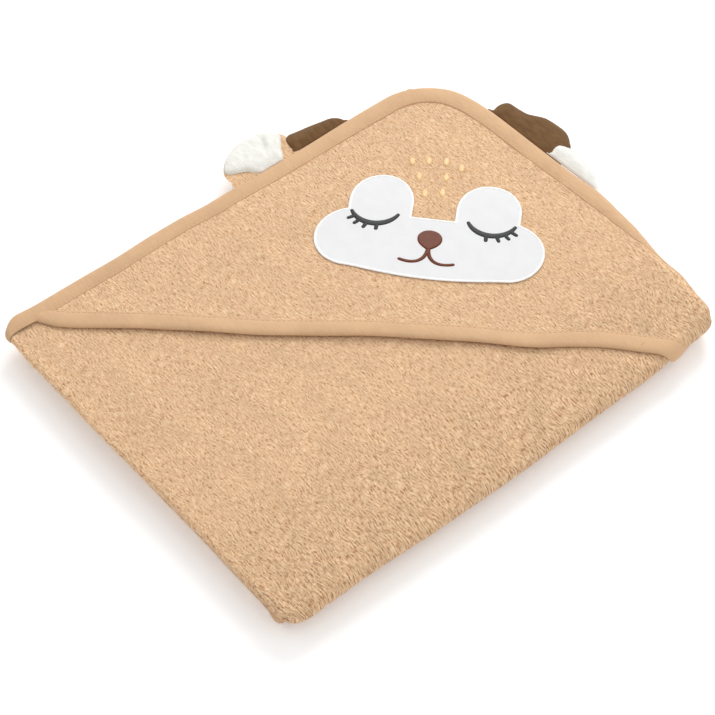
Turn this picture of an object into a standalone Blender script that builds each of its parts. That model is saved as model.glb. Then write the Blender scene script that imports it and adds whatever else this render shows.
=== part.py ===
"""Hooded baby towel, folded for storage.

A square terry towel lies folded in three rows and then in three columns. The columns are three
stacks that open like a leaflet. A triangular hood is sewn across one corner of the uppermost
stack. It carries an appliqued, embroidered animal face, and a padded ear and a padded antler
stand out of each of its two sewn edges.

Frame: +Z up, origin at the middle of the underside's folded rectangle, +Y along its long side.
The hood's tip is the corner at -X, +Y. All lengths are in metres and all angles in degrees.
"""

from math import cos, pi, radians, sin

import bmesh
import bpy
from mathutils import Matrix, Vector

# ---------------------------------------------------------------- driving sizes: the folded towel
FOLDED_WIDTH = 0.250          # X, one column of the towel
FOLDED_LENGTH = 0.316         # Y, one row of the towel
TUCKED_ROW = 0.118            # length of the third row, folded in between the other two
CLOTH = 0.0015                # terry, pressed flat
GAP = 0.0003                  # air left between two pieces that touch
LOWER_TOP_SETBACK = 0.020     # lower layers stop this far short of the hood's top edge
LEFT_SETBACK = 0.006          # the left fold stops this far short of the hood's left edge
BACK_SETBACK = 0.012          # the last column's free edge stops this far short of the right fold
BINDING_WIDTH = 0.0105        # bias tape showing on each bound edge
TIP_RADIUS = 0.041            # outer radius of the towel's corner under the hood's tip
FOLD_STEPS = 6                # segments in a half-round fold
CORNER_STEPS = 8              # segments in a quarter-round corner

# ---------------------------------------------------------------- driving sizes: the hood
HOOD_WRAP = 0.053             # how far each sewn edge of the hood runs past the folded width
MOUTH_BINDING_WIDTH = 0.011
MOUTH_BINDING_PROUD = 0.0005  # the mouth's tape stands this far above the hood's cloth
TIP_BINDING_PROUD = 0.0003    # the perimeter tape stands this far above the hood's cloth
FACE_ACROSS = 0.0040          # the face's centre: along the mouth from the hood's centre line
FACE_DOWN = 0.141             # and down from the tip
FACE_TILT = -4.4
APPLIQUE_THICKNESS = 0.0006
SATIN_WIDTH = 0.0014
SATIN_PROUD = 0.0004
STITCH_THICKNESS = 0.0006
FRECKLE_SIZE = (0.0022, 0.0056)
FRECKLES = (                  # across and down from the tip, along the hood's centre line
    (-0.0089, 0.0802), (0.0006, 0.0797), (0.0106, 0.0798), (0.0196, 0.0842),
    (-0.0044, 0.0922), (0.0111, 0.0922), (-0.0004, 0.1055), (0.0096, 0.1045),
)
FRECKLE_POINTS = 10

# ---------------------------------------------------------------- driving sizes: the face
# The face's own outlines are in millimetres about its centre, right and up.
LOBE_CENTRE, LOBE_SIZE = (30.5, 25.0), (17.5, 20.0)
NOTCH_HEIGHT = 14.5
CHEEK_CENTRE, CHEEK_RADIUS = (42.0, -4.0), 21.5
CHEEK_START, CHEEK_END = -76, 74
CHIN_DROP, CHIN_HALF, CHIN_RISE = 29.6, 46.0, 5.2
EYE_CENTRE, EYE_RADIUS, EYE_HALF_ANGLE = (32.5, 21.6), 14.6, 66
EYE_STROKE, EYE_END_STROKE = 3.0, 1.3
LASH_ANGLES = (-98, -76, -58, -42)
LASH_LENGTH, LASH_WIDTH = 6.2, 2.0
LASH_TIP = 0.62               # a lash's width at its tip, as a share of its width at the lid
LASH_CROWN = 0.35             # how far its rounded end stands out, as a share of its width
LASH_ROOM = 1.15              # the lid's own points keep this many half lashes away from a lash
NOSE_HALF, NOSE_UP, NOSE_DOWN = 7.0, 6.2, 8.6
NOSE_TAPER = 0.45             # how much narrower the nose is at its foot
NOSE_POINTS = 28
MOUTH_TOP, MOUTH_STROKE = -11.0, 1.8
MOUTH_SIZE, MOUTH_PARTING, MOUTH_END_ANGLE = (9.6, 9.0), 204, 312

# ---------------------------------------------------------------- driving sizes: ears and antlers
SHELL = 0.0009                # plush, terry or twill of an ear or antler, pressed flat
EAR_WADDING = 0.0017
ANTLER_WADDING = 0.0012
SEAM_RIM = 0.0022             # sewn rim around the wadding
SEAM_CLEARANCE = 0.0018       # room beside the towel's edge for the seam to bend down
SEAM_DROP = 0.0005            # the seam's hinge line lies this far above the cloth
TRIM_STEPS = 14
EAR_POWER = 0.8               # below 1 makes a trim's outline fuller than a half ellipse
ANTLER_POWER = 0.45
SHOULDER_HEIGHT = 0.70        # an antler's low shoulder, as a share of its full reach
SHOULDER_START, SHOULDER_END = 0.25, 0.60   # the shoulder rises between these shares of the width
#                side     piece     from tip, width, reach
TRIMS = (
    ("left", "antler", 0.0695, 0.0340, 0.0150),
    ("left", "ear", 0.1045, 0.0460, 0.0270),
    ("right", "antler", 0.0460, 0.0500, 0.0230),
    ("right", "ear", 0.0975, 0.0410, 0.0200),
)

# ---------------------------------------------------------------- sizes that follow
PITCH = CLOTH + GAP
STACK = 3 * CLOTH + 2 * GAP
LEFT, RIGHT = -FOLDED_WIDTH / 2, FOLDED_WIDTH / 2
BOTTOM, TOP = -FOLDED_LENGTH / 2, FOLDED_LENGTH / 2
LOWER_TOP = TOP - LOWER_TOP_SETBACK
LOWER_LEFT = LEFT + LEFT_SETBACK
FOLD_HALF_GAP = GAP / 2

BACK_Z = 0.0
WRAP_Z = BACK_Z + STACK + GAP               # the hood's corner, wrapped round the right fold
MIDDLE_Z = WRAP_Z + CLOTH + GAP
FRONT_Z = MIDDLE_Z + STACK + GAP
HOOD_Z = FRONT_Z + STACK + GAP
HOOD_TOP_Z = HOOD_Z + CLOTH
APPLIQUE_Z = HOOD_TOP_Z + GAP
STITCH_Z = APPLIQUE_Z + APPLIQUE_THICKNESS + GAP
FRONT_FOLD_Z = FRONT_Z - FOLD_HALF_GAP
BACK_FOLD_Z = (BACK_Z + STACK + MIDDLE_Z) / 2
TIP_BINDING_TOP = HOOD_TOP_Z + TIP_BINDING_PROUD
TRIM_AXIS_Z = TIP_BINDING_TOP + GAP
TRIM_TOP = -SEAM_DROP                       # in a trim's own frame, whose origin is on the seam

BOUND_EDGE = BINDING_WIDTH + GAP            # from a bound edge to the cloth inside its tape
HOOD_LEG = FOLDED_WIDTH + HOOD_WRAP         # sewn edge of the hood, from the tip to the mouth
HOOD_DEPTH = HOOD_LEG / 2 ** 0.5            # from the tip square to the mouth
MOUTH_INNER = HOOD_DEPTH - MOUTH_BINDING_WIDTH - GAP

COLOURS = {                                 # sRGB, roughness
    "terry": ((0.890, 0.737, 0.580), 0.95),
    "tape": ((0.875, 0.722, 0.570), 0.80),
    "applique": ((0.933, 0.933, 0.933), 0.75),
    "satin": ((0.985, 0.985, 0.985), 0.45),
    "dark_thread": ((0.250, 0.247, 0.247), 0.50),
    "brown_thread": ((0.502, 0.314, 0.235), 0.50),
    "freckle_thread": ((0.937, 0.820, 0.640), 0.50),
    "plush": ((0.965, 0.953, 0.910), 0.95),
    "twill": ((0.470, 0.353, 0.216), 0.85),
    "wadding": ((0.960, 0.960, 0.950), 0.95),
}


# ---------------------------------------------------------------- scene helpers
def clear_scene():
    for old in list(bpy.data.objects):
        bpy.data.objects.remove(old, do_unlink=True)


def linear(channel):
    return channel / 12.92 if channel <= 0.04045 else ((channel + 0.055) / 1.055) ** 2.4


def make_material(name, node):
    """A material of this piece's own, in the named cloth's or thread's colour."""
    colour, roughness = COLOURS[name]
    material = bpy.data.materials.new(f"{node}_{name}")
    material.use_nodes = True
    shader = material.node_tree.nodes["Principled BSDF"]
    shader.inputs["Base Color"].default_value = (*[linear(c) for c in colour], 1.0)
    shader.inputs["Roughness"].default_value = roughness
    shader.inputs["Metallic"].default_value = 0.0
    return material


def add_axis(name, matrix, parent=None):
    """An empty whose local X axis, or Y axis for the folds, is the joint's axis."""
    empty = bpy.data.objects.new(name, None)
    empty.empty_display_size = 0.02
    bpy.context.scene.collection.objects.link(empty)
    if parent is not None:
        empty.parent = parent
        matrix = parent.matrix_world.inverted() @ matrix
    empty.matrix_local = matrix
    bpy.context.view_layer.update()
    return empty


def add_piece(name, bm, cloth, axis=None, local=False):
    """One node from a bmesh that is in world space, or with local in its axis's own space."""
    bmesh.ops.recalc_face_normals(bm, faces=bm.faces)
    if axis is not None and not local:
        bm.transform(axis.matrix_world.inverted())
    mesh = bpy.data.meshes.new(name)
    bm.to_mesh(mesh)
    bm.free()
    mesh.materials.append(make_material(cloth, name))
    obj = bpy.data.objects.new(name, mesh)
    bpy.context.scene.collection.objects.link(obj)
    obj.parent = axis
    return obj


# ---------------------------------------------------------------- outline and solid helpers
def arc(centre, radius, start, end, steps):
    """Points on an arc. radius is one number, or a pair for an elliptical arc."""
    rx, ry = radius if isinstance(radius, tuple) else (radius, radius)
    angles = [radians(start + (end - start) * i / steps) for i in range(steps + 1)]
    return [(centre[0] + rx * cos(a), centre[1] + ry * sin(a)) for a in angles]


def prism(outline, low, high):
    """A bmesh of a flat outline in X and Y, between two heights."""
    bm = bmesh.new()
    base = bm.faces.new([bm.verts.new((x, y, low)) for x, y in outline])
    made = bmesh.ops.extrude_face_region(bm, geom=[base])
    top = [v for v in made["geom"] if isinstance(v, bmesh.types.BMVert)]
    bmesh.ops.translate(bm, verts=top, vec=(0, 0, high - low))
    return bm


def slab(x0, x1, y0, y1, z0, z1):
    return prism([(x0, y0), (x1, y0), (x1, y1), (x0, y1)], z0, z1)


def section(profile, x0, x1):
    """A bmesh of a profile in Y and Z, drawn out along X."""
    bm = bmesh.new()
    base = bm.faces.new([bm.verts.new((x0, y, z)) for y, z in profile])
    made = bmesh.ops.extrude_face_region(bm, geom=[base])
    far = [v for v in made["geom"] if isinstance(v, bmesh.types.BMVert)]
    bmesh.ops.translate(bm, verts=far, vec=(x1 - x0, 0, 0))
    return bm


MITRE_LIMIT = 0.5             # a sharp corner moves no further than twice the distance


def offset(outline, distance):
    """The anticlockwise outline moved outwards, or inwards where distance is negative."""
    moved = []
    count = len(outline)
    for i, point in enumerate(outline):
        before = Vector(point) - Vector(outline[i - 1])
        after = Vector(outline[(i + 1) % count]) - Vector(point)
        one = Vector((before.y, -before.x)).normalized()
        two = Vector((after.y, -after.x)).normalized()
        both = (one + two).normalized()
        step = both * (distance / max(both.dot(one), MITRE_LIMIT))
        moved.append((point[0] + step.x, point[1] + step.y))
    return moved


def ring(outer, inner, low, high):
    """A bmesh of the band between two outlines that have the same number of points."""
    bm = bmesh.new()
    loops = [
        [bm.verts.new((x, y, z)) for x, y in line]
        for line, z in ((outer, low), (inner, low), (inner, high), (outer, high))
    ]
    count = len(outer)
    for a, b in zip(loops, loops[1:] + loops[:1]):
        for i in range(count):
            j = (i + 1) % count
            bm.faces.new((a[i], a[j], b[j], b[i]))
    return bm


def tray(outline, wall, closed_z, inner_z, open_z):
    """A shallow dish: its floor lies between closed_z and inner_z, and its rim ends at open_z."""
    inner = offset(outline, -wall)
    bm = bmesh.new()
    outer_low = [bm.verts.new((x, y, closed_z)) for x, y in outline]
    outer_open = [bm.verts.new((x, y, open_z)) for x, y in outline]
    inner_open = [bm.verts.new((x, y, open_z)) for x, y in inner]
    inner_low = [bm.verts.new((x, y, inner_z)) for x, y in inner]
    bm.faces.new(outer_low)
    bm.faces.new(inner_low)
    count = len(outline)
    for a, b in ((outer_low, outer_open), (outer_open, inner_open), (inner_open, inner_low)):
        for i in range(count):
            j = (i + 1) % count
            bm.faces.new((a[i], a[j], b[j], b[i]))
    return bm


# ---------------------------------------------------------------- the folded cloth
def serpentine(base_z, start_y, end_y, flipped=False, whole=True):
    """The folded cloth's profile in Y and Z.

    It runs from start_y down the outer layer, round the fold at the bottom edge, back along the
    inner layer, round the top fold and down the tucked layer to end_y. The outer layer is the
    top one, or the lowest one where the stack is flipped. Without whole it starts at the fold.
    """
    low, tucked, high = [base_z + CLOTH / 2 + n * PITCH for n in range(3)]
    bottom_centre = (BOTTOM + PITCH + CLOTH / 2, tucked)
    top_centre = (LOWER_TOP - PITCH / 2 - CLOTH / 2, (low + tucked) / 2)
    first = start_y if whole else bottom_centre[0] + GAP
    sides = []
    for side in (CLOTH / 2, -CLOTH / 2):
        line = [(first, high + side)]
        line += arc(bottom_centre, PITCH + side, 90, 270, FOLD_STEPS)
        line += arc(top_centre, PITCH / 2 + side, -90, 90, FOLD_STEPS)
        line += [(end_y, tucked + side)]
        sides.append(line)
    outline = sides[0] + sides[1][::-1]
    if flipped:
        outline = [(y, 2 * base_z + STACK - z) for y, z in outline]
    return outline


def add_stack(body, base_z, x0, x1, top_y, axis, flipped=False, bound=()):
    """One column of the towel: its cloth, its hems and the tape on a side that is free."""
    end_y = LOWER_TOP - TUCKED_ROW
    left = x0 + BOUND_EDGE if "left" in bound else x0
    right = x1 - BOUND_EDGE if "right" in bound else x1
    profile = serpentine(base_z, top_y - BOUND_EDGE, end_y + BOUND_EDGE, flipped)
    panel = add_piece(f"towel_{body}_panel", section(profile, left, right), "terry", axis)
    hem_z = base_z + PITCH
    hem = slab(left, right, end_y, end_y + BINDING_WIDTH, hem_z, hem_z + CLOTH)
    add_piece(f"{body}_tucked_hem_binding", hem, "tape", axis)
    return panel


def corner_outline(inset):
    """The hood tip's rounded corner, anticlockwise from the top edge to the left edge."""
    centre = (LEFT + TIP_RADIUS, TOP - TIP_RADIUS)
    return arc(centre, TIP_RADIUS - inset, 90, 180, CORNER_STEPS)


def add_middle_stack():
    """The column that everything else opens from. Its outer layer is its lowest."""
    x0, x1 = LOWER_LEFT + FOLD_HALF_GAP, RIGHT - FOLD_HALF_GAP
    add_stack("middle", MIDDLE_Z, x0, x1, LOWER_TOP, None, flipped=True)
    hem = slab(x0, x1, LOWER_TOP - BINDING_WIDTH, LOWER_TOP, MIDDLE_Z, MIDDLE_Z + CLOTH)
    add_piece("middle_top_hem_binding", hem, "tape")


def add_wrapped_corner():
    """The hood's corner beyond the right fold, lying against the middle stack's underside."""
    x_max = RIGHT - GAP
    mouth_sum = RIGHT + TOP - HOOD_WRAP
    inner_sum = mouth_sum + (MOUTH_BINDING_WIDTH + GAP) * 2 ** 0.5
    tape_sum = mouth_sum + MOUTH_BINDING_WIDTH * 2 ** 0.5
    cloth = [(x_max, inner_sum - x_max), (x_max, LOWER_TOP), (inner_sum - LOWER_TOP, LOWER_TOP)]
    add_piece("hood_wrapped_corner", prism(cloth, WRAP_Z, WRAP_Z + CLOTH), "terry")
    tape = [
        (x_max, mouth_sum - x_max), (x_max, tape_sum - x_max),
        (tape_sum - LOWER_TOP, LOWER_TOP), (mouth_sum - LOWER_TOP, LOWER_TOP),
    ]
    add_piece("hood_wrapped_binding", prism(tape, WRAP_Z, WRAP_Z + CLOTH), "tape")


def add_back_stack(axis):
    """The last column, with the towel's far side edge. It lies at the bottom of the pile."""
    x0, x1 = LOWER_LEFT + FOLD_HALF_GAP, RIGHT - BACK_SETBACK
    add_stack("back", BACK_Z, x0, x1, LOWER_TOP, axis, bound=("right",))
    hem_z = BACK_Z + 2 * PITCH
    hem = slab(x0, x1 - BOUND_EDGE, LOWER_TOP - BINDING_WIDTH, LOWER_TOP, hem_z, hem_z + CLOTH)
    add_piece("back_top_hem_binding", hem, "tape", axis)
    profile = serpentine(BACK_Z, LOWER_TOP, LOWER_TOP - TUCKED_ROW)
    add_piece("back_side_binding", section(profile, x1 - BINDING_WIDTH, x1), "tape", axis)


def add_front_stack(axis):
    """The uppermost column. Its outer layer has the rounded corner that the hood covers."""
    x1 = RIGHT - FOLD_HALF_GAP
    panel = add_stack("front", FRONT_Z, LEFT, x1, TOP, axis, bound=("left",))
    layer_z = FRONT_Z + 2 * PITCH
    round_off_corner(panel, axis, layer_z)

    profile = serpentine(FRONT_Z, 0, LOWER_TOP - TUCKED_ROW, whole=False)
    add_piece("front_side_binding", section(profile, LEFT, LEFT + BINDING_WIDTH), "tape", axis)

    start = BOTTOM + PITCH + CLOTH / 2 + 2 * GAP
    outline = [(x1, TOP)] + corner_outline(0) + [(LEFT, start), (LEFT + BINDING_WIDTH, start)]
    outline += corner_outline(BINDING_WIDTH)[::-1] + [(x1, TOP - BINDING_WIDTH)]
    tape = prism(outline, layer_z, TIP_BINDING_TOP)
    add_piece("hood_tip_edge_binding", tape, "tape", axis)


def round_off_corner(panel, axis, layer_z):
    """Cuts the panel's top layer round at the hood's tip."""
    outline = corner_outline(BOUND_EDGE) + [(LEFT, TOP - TIP_RADIUS), (LEFT, TOP)]
    outline += [(LEFT + TIP_RADIUS, TOP)]
    cutter = add_piece("corner_cutter", prism(outline, layer_z - GAP / 2, HOOD_Z), "tape", axis)
    cutter.hide_render = True
    cutter.display_type = "WIRE"
    cut = panel.modifiers.new("rounded_corner", "BOOLEAN")
    cut.operation = "DIFFERENCE"
    cut.solver = "EXACT"
    cut.object = cutter


# ---------------------------------------------------------------- the hood
def hood_matrix():
    """Local X runs along the mouth, and local Y out of the tip; the origin is at the tip."""
    return Matrix.Translation((LEFT, TOP, HOOD_Z)) @ Matrix.Rotation(radians(45), 4, "Z")


def down_line(depth, x):
    """The Y at this X of the line that lies this far from the tip and parallel to the mouth."""
    return TOP - depth * 2 ** 0.5 + (x - LEFT)


def add_hood(axis):
    left, right = LEFT + BOUND_EDGE, RIGHT - GAP
    cloth = [(left, down_line(MOUTH_INNER, left)), (right, down_line(MOUTH_INNER, right))]
    cloth += [(right, TOP - BOUND_EDGE)] + corner_outline(BOUND_EDGE)
    add_piece("hood_panel", prism(cloth, HOOD_Z, HOOD_TOP_Z), "terry", axis)
    inner = MOUTH_INNER + GAP
    tape = [
        (left, down_line(HOOD_DEPTH, left)), (right, down_line(HOOD_DEPTH, right)),
        (right, down_line(inner, right)), (left, down_line(inner, left)),
    ]
    tape_top = HOOD_TOP_Z + MOUTH_BINDING_PROUD
    add_piece("hood_mouth_binding", prism(tape, HOOD_Z, tape_top), "tape", axis)


# ---------------------------------------------------------------- the face
def face_matrix():
    """From the face's millimetres to the hood's frame."""
    place = Matrix.Translation((FACE_ACROSS, -FACE_DOWN, 0))
    return place @ Matrix.Rotation(radians(FACE_TILT), 4, "Z") @ Matrix.Scale(0.001, 4)


def on_hood(points):
    """Face outline points, in the hood's frame."""
    matrix = face_matrix()
    return [tuple((matrix @ Vector((x, y, 0)))[:2]) for x, y in points]


def mirrored(points):
    return [(-x, y) for x, y in reversed(points)]


def mask_half():
    """The right half of the mask's outline, anticlockwise from the chin to the notch."""
    chin_radius = (CHIN_HALF ** 2 + CHIN_RISE ** 2) / (2 * CHIN_RISE)
    chin = [
        (x, -CHIN_DROP + chin_radius - (chin_radius ** 2 - x ** 2) ** 0.5)
        for x in (CHIN_HALF * i / 6 for i in range(6))
    ]
    cheek = arc(CHEEK_CENTRE, CHEEK_RADIUS, CHEEK_START, CHEEK_END, 14)
    lobe = arc(LOBE_CENTRE, LOBE_SIZE, 0, 180, 16)
    side_x = LOBE_CENTRE[0] - LOBE_SIZE[0]
    return chin[1:] + cheek + lobe + [(side_x, NOTCH_HEIGHT)]


def mask_outline():
    right = mask_half()
    return right + mirrored(right) + [(0.0, -CHIN_DROP)]


def eye_outline():
    """A closed lid with four lashes on its outer half, for the right eye."""
    def point(angle, radius):
        a = radians(angle)
        return (EYE_CENTRE[0] + radius * cos(a), EYE_CENTRE[1] + radius * sin(a))

    def stroke(angle):
        along = abs(angle + 90) / EYE_HALF_ANGLE
        return EYE_END_STROKE + (EYE_STROKE - EYE_END_STROKE) * (1 - along ** 2)

    start, end, steps = -90 - EYE_HALF_ANGLE, -90 + EYE_HALF_ANGLE, 16
    angles = [start + (end - start) * i / steps for i in range(steps + 1)]
    half_lash = LASH_WIDTH / 2 / EYE_RADIUS * 180 / pi
    outer = []
    for angle in angles:
        if all(abs(angle - lash) > half_lash * LASH_ROOM for lash in LASH_ANGLES):
            outer.append((angle, [point(angle, EYE_RADIUS + stroke(angle) / 2)]))
    for lash in LASH_ANGLES:
        root = [point(lash + s * half_lash, EYE_RADIUS + stroke(lash) / 2) for s in (-1, 1)]
        tip_radius = EYE_RADIUS + LASH_LENGTH
        tip = [point(lash + s * half_lash * LASH_TIP, tip_radius) for s in (-1, 1)]
        crown = point(lash, tip_radius + LASH_WIDTH * LASH_CROWN)
        outer.append((lash, [root[0], tip[0], crown, tip[1], root[1]]))
    outline = [p for _, points in sorted(outer) for p in points]
    inner = [point(angle, EYE_RADIUS - stroke(angle) / 2) for angle in reversed(angles)]
    return outline + inner


def nose_outline():
    """Round above and drawn to a point below."""
    points = []
    for angle in (2 * pi * i / NOSE_POINTS for i in range(NOSE_POINTS)):
        low = max(0.0, -sin(angle))
        reach = NOSE_UP if sin(angle) > 0 else NOSE_DOWN
        points.append((NOSE_HALF * cos(angle) * (1 - NOSE_TAPER * low), reach * sin(angle)))
    return points


def mouth_outline():
    """A short stem that parts into two upturned arcs."""
    half, centre = MOUTH_STROKE / 2, (MOUTH_SIZE[0], MOUTH_TOP)
    outer_size = tuple(s + half for s in MOUTH_SIZE)
    inner_size = tuple(s - half for s in MOUTH_SIZE)
    lower = arc(centre, outer_size, MOUTH_PARTING, MOUTH_END_ANGLE, 8)
    upper = arc(centre, inner_size, MOUTH_END_ANGLE, 180, 8)
    stem_top = (half, -NOSE_DOWN - MOUTH_STROKE / 4)
    right = lower[1:] + upper + [stem_top]
    return [(0.0, lower[0][1])] + right + mirrored(right)


def freckle_outline(centre):
    width, length = FRECKLE_SIZE
    last = 360 - 360 / FRECKLE_POINTS
    return arc(centre, (width / 2, length / 2), 0, last, FRECKLE_POINTS - 1)


def add_face(axis):
    mask = on_hood(mask_outline())
    low = APPLIQUE_Z - HOOD_Z
    high = low + APPLIQUE_THICKNESS
    inner, outer = offset(mask, -SATIN_WIDTH / 2), offset(mask, SATIN_WIDTH / 2)
    cloth = offset(mask, -SATIN_WIDTH / 2 - GAP)
    add_piece("face_applique", prism(cloth, low, high), "applique", axis, local=True)
    border = ring(outer, inner, low, high + SATIN_PROUD)
    add_piece("applique_satin_border", border, "satin", axis, local=True)

    stitch_low = STITCH_Z - HOOD_Z
    stitch_high = stitch_low + STITCH_THICKNESS
    stitched = (
        ("right_eye_embroidery", eye_outline(), "dark_thread"),
        ("left_eye_embroidery", mirrored(eye_outline()), "dark_thread"),
        ("nose_embroidery", nose_outline(), "brown_thread"),
        ("mouth_embroidery", mouth_outline(), "brown_thread"),
    )
    for name, outline, thread in stitched:
        solid = prism(on_hood(outline), stitch_low, stitch_high)
        add_piece(name, solid, thread, axis, local=True)
    for number, (across, down) in enumerate(FRECKLES, 1):
        solid = prism(freckle_outline((across, -down)), low, low + STITCH_THICKNESS)
        add_piece(f"freckle_stitch_{number}", solid, "freckle_thread", axis, local=True)


# ---------------------------------------------------------------- ears and antlers
def trim_matrix(side, middle):
    """Local X runs along the seam and local Y outwards; the origin is on the seam's hinge line."""
    if side == "left":
        turn = Matrix.Rotation(radians(90), 4, "Z")
        return Matrix.Translation((LEFT, TOP - middle, TRIM_AXIS_Z)) @ turn
    return Matrix.Translation((LEFT + middle, TOP, TRIM_AXIS_Z))


def ear_outline(width, reach):
    """A rounded flap, anticlockwise from its right foot."""
    half = width / 2
    points = []
    for angle in (pi * i / TRIM_STEPS for i in range(TRIM_STEPS + 1)):
        rise = sin(angle) ** EAR_POWER if 0 < angle < pi else 0.0
        points.append((half * cos(angle), SEAM_CLEARANCE + (reach - SEAM_CLEARANCE) * rise))
    return points


def antler_outline(width, reach, away):
    """A low palm with a shoulder on the side of the tip. away is the sign of X leaving the tip."""
    points = []
    for share in (i / TRIM_STEPS for i in range(TRIM_STEPS + 1)):
        rise = sin(pi * share) ** ANTLER_POWER if 0 < share < 1 else 0.0
        shoulder = (share - SHOULDER_START) / (SHOULDER_END - SHOULDER_START)
        shoulder = min(1.0, max(0.0, shoulder))
        climb = shoulder ** 2 * (3 - 2 * shoulder)
        height = rise * (SHOULDER_HEIGHT + (1 - SHOULDER_HEIGHT) * climb)
        x = away * width * (share - 0.5)
        points.append((x, SEAM_CLEARANCE + (reach - SEAM_CLEARANCE) * height))
    return points[::-1] if away > 0 else points


def add_trim(side, kind, from_tip, width, reach, parent):
    """An ear or an antler: its front, its back and the wadding that they are sewn round."""
    name = f"{side}_{kind}"
    axis = add_axis(f"{name}_axis", trim_matrix(side, from_tip + width / 2), parent)
    if kind == "ear":
        outline, wadding, cloths = ear_outline(width, reach), EAR_WADDING, ("plush", "terry")
    else:
        away = 1 if side == "right" else -1
        outline, wadding = antler_outline(width, reach, away), ANTLER_WADDING
        cloths = ("twill", "twill")
    top = TRIM_TOP
    under_front = top - SHELL
    under_wadding = under_front - GAP - wadding
    over_back = under_wadding - GAP
    bottom = over_back - SHELL
    seam = (top + bottom) / 2
    front = tray(outline, SEAM_RIM, top, under_front, seam + GAP / 2)
    back = tray(outline, SEAM_RIM, bottom, over_back, seam - GAP / 2)
    filling = prism(offset(outline, -SEAM_RIM - GAP), under_wadding, under_front - GAP)
    add_piece(f"{name}_front", front, cloths[0], axis, local=True)
    add_piece(f"{name}_back", back, cloths[1], axis, local=True)
    add_piece(f"{name}_wadding", filling, "wadding", axis, local=True)


def build():
    clear_scene()
    front_axis = add_axis("side_fold_axis", Matrix.Translation((RIGHT, 0, FRONT_FOLD_Z)))
    back_axis = add_axis("back_fold_axis", Matrix.Translation((LOWER_LEFT, 0, BACK_FOLD_Z)))
    hood_axis = add_axis("hood_lift_axis", hood_matrix(), front_axis)
    add_middle_stack()
    add_wrapped_corner()
    add_back_stack(back_axis)
    add_front_stack(front_axis)
    add_hood(hood_axis)
    add_face(hood_axis)
    for side, kind, from_tip, width, reach in TRIMS:
        add_trim(side, kind, from_tip, width, reach, front_axis)


build()
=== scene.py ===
"""The looks of the folded hooded towel: looped terry, bias tape, applique, embroidery, ears and antlers.

Every piece of cloth is laid out flat first, in the towel's own flat coordinates: s runs across the
columns and t down the rows, both from the hood's tip, and n stands out of the cloth's right side.
fold() then carries a flat point to its place in the folded pile. All lengths are in metres.
"""

from math import cos, pi, radians, sin

import bmesh
import bpy
import numpy as np
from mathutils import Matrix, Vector
from mathutils.geometry import delaunay_2d_cdt


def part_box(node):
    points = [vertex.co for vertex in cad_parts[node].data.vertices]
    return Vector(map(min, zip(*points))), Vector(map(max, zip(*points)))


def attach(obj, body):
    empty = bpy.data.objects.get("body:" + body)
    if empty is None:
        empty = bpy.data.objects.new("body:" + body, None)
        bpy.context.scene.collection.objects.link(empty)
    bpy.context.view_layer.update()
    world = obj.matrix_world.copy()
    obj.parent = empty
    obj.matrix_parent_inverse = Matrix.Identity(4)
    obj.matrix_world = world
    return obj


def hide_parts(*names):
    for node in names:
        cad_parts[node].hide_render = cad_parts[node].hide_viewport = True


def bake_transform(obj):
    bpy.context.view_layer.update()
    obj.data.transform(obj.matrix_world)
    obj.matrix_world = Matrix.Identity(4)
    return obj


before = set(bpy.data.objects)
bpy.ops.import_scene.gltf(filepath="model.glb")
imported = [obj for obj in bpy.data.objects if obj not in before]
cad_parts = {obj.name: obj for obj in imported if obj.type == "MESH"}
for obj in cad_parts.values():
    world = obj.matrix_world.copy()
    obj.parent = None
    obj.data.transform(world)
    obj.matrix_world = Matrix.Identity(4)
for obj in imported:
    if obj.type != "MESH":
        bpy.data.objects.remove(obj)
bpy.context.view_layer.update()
MM = 0.001

# ---------------------------------------------------------------- the pile's sizes, from the frame
front_low, front_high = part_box("towel_front_panel")
middle_low, middle_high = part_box("towel_middle_panel")
back_low, back_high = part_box("towel_back_panel")
tip_low, tip_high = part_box("hood_tip_edge_binding")
side_low, side_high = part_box("front_side_binding")
hood_low, hood_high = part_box("hood_panel")

LEFT, TOP, BOTTOM = tip_low.x, tip_high.y, front_low.y
LOWER_LEFT, LOWER_TOP = middle_low.x, middle_high.y
BACK_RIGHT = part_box("back_side_binding")[1].x
TUCK_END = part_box("front_tucked_hem_binding")[0].y
TAPE = side_high.x - side_low.x
CLOTH = hood_high.z - hood_low.z
STACK = back_high.z - back_low.z
PITCH = (STACK - CLOTH) / 2
GAP = PITCH - CLOTH
FRONT_Z, MIDDLE_Z, BACK_Z = front_low.z, middle_low.z, back_low.z
HOOD_N = hood_low.z - (FRONT_Z + STACK) + CLOTH     # from the front's cloth up to the hood's
RIGHT_FOLD_Z = FRONT_Z - GAP / 2
LEFT_FOLD_Z = (BACK_Z + STACK + MIDDLE_Z) / 2
CORNER = 0.041                                      # radius of the towel's rounded corners
EDGE = 0.0016                                       # cloth stops this far inside its tape's outer edge
MOUTH_TAPE = 0.011
HOOD_PAST_CENTRE = 0.053                            # the hood's leg beyond twice the fold's distance
HOOD_STAYS = 0.008                                  # the hood's strip before the fold that never lifts

# rows: the top layer, round the bottom fold, the lowest layer, round the top fold, the tucked layer
ROW_HIGH = STACK - CLOTH / 2
ROW_TUCKED = ROW_HIGH - PITCH
ROW_LOW = CLOTH / 2
BOTTOM_BEND = BOTTOM + PITCH + CLOTH / 2
TOP_BEND = LOWER_TOP - PITCH / 2 - CLOTH / 2
T1 = TOP - BOTTOM_BEND
T2 = T1 + pi * PITCH
T3 = T2 + TOP_BEND - BOTTOM_BEND
T4 = T3 + pi * PITCH / 2
T5 = T4 + TOP_BEND - TUCK_END

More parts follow.
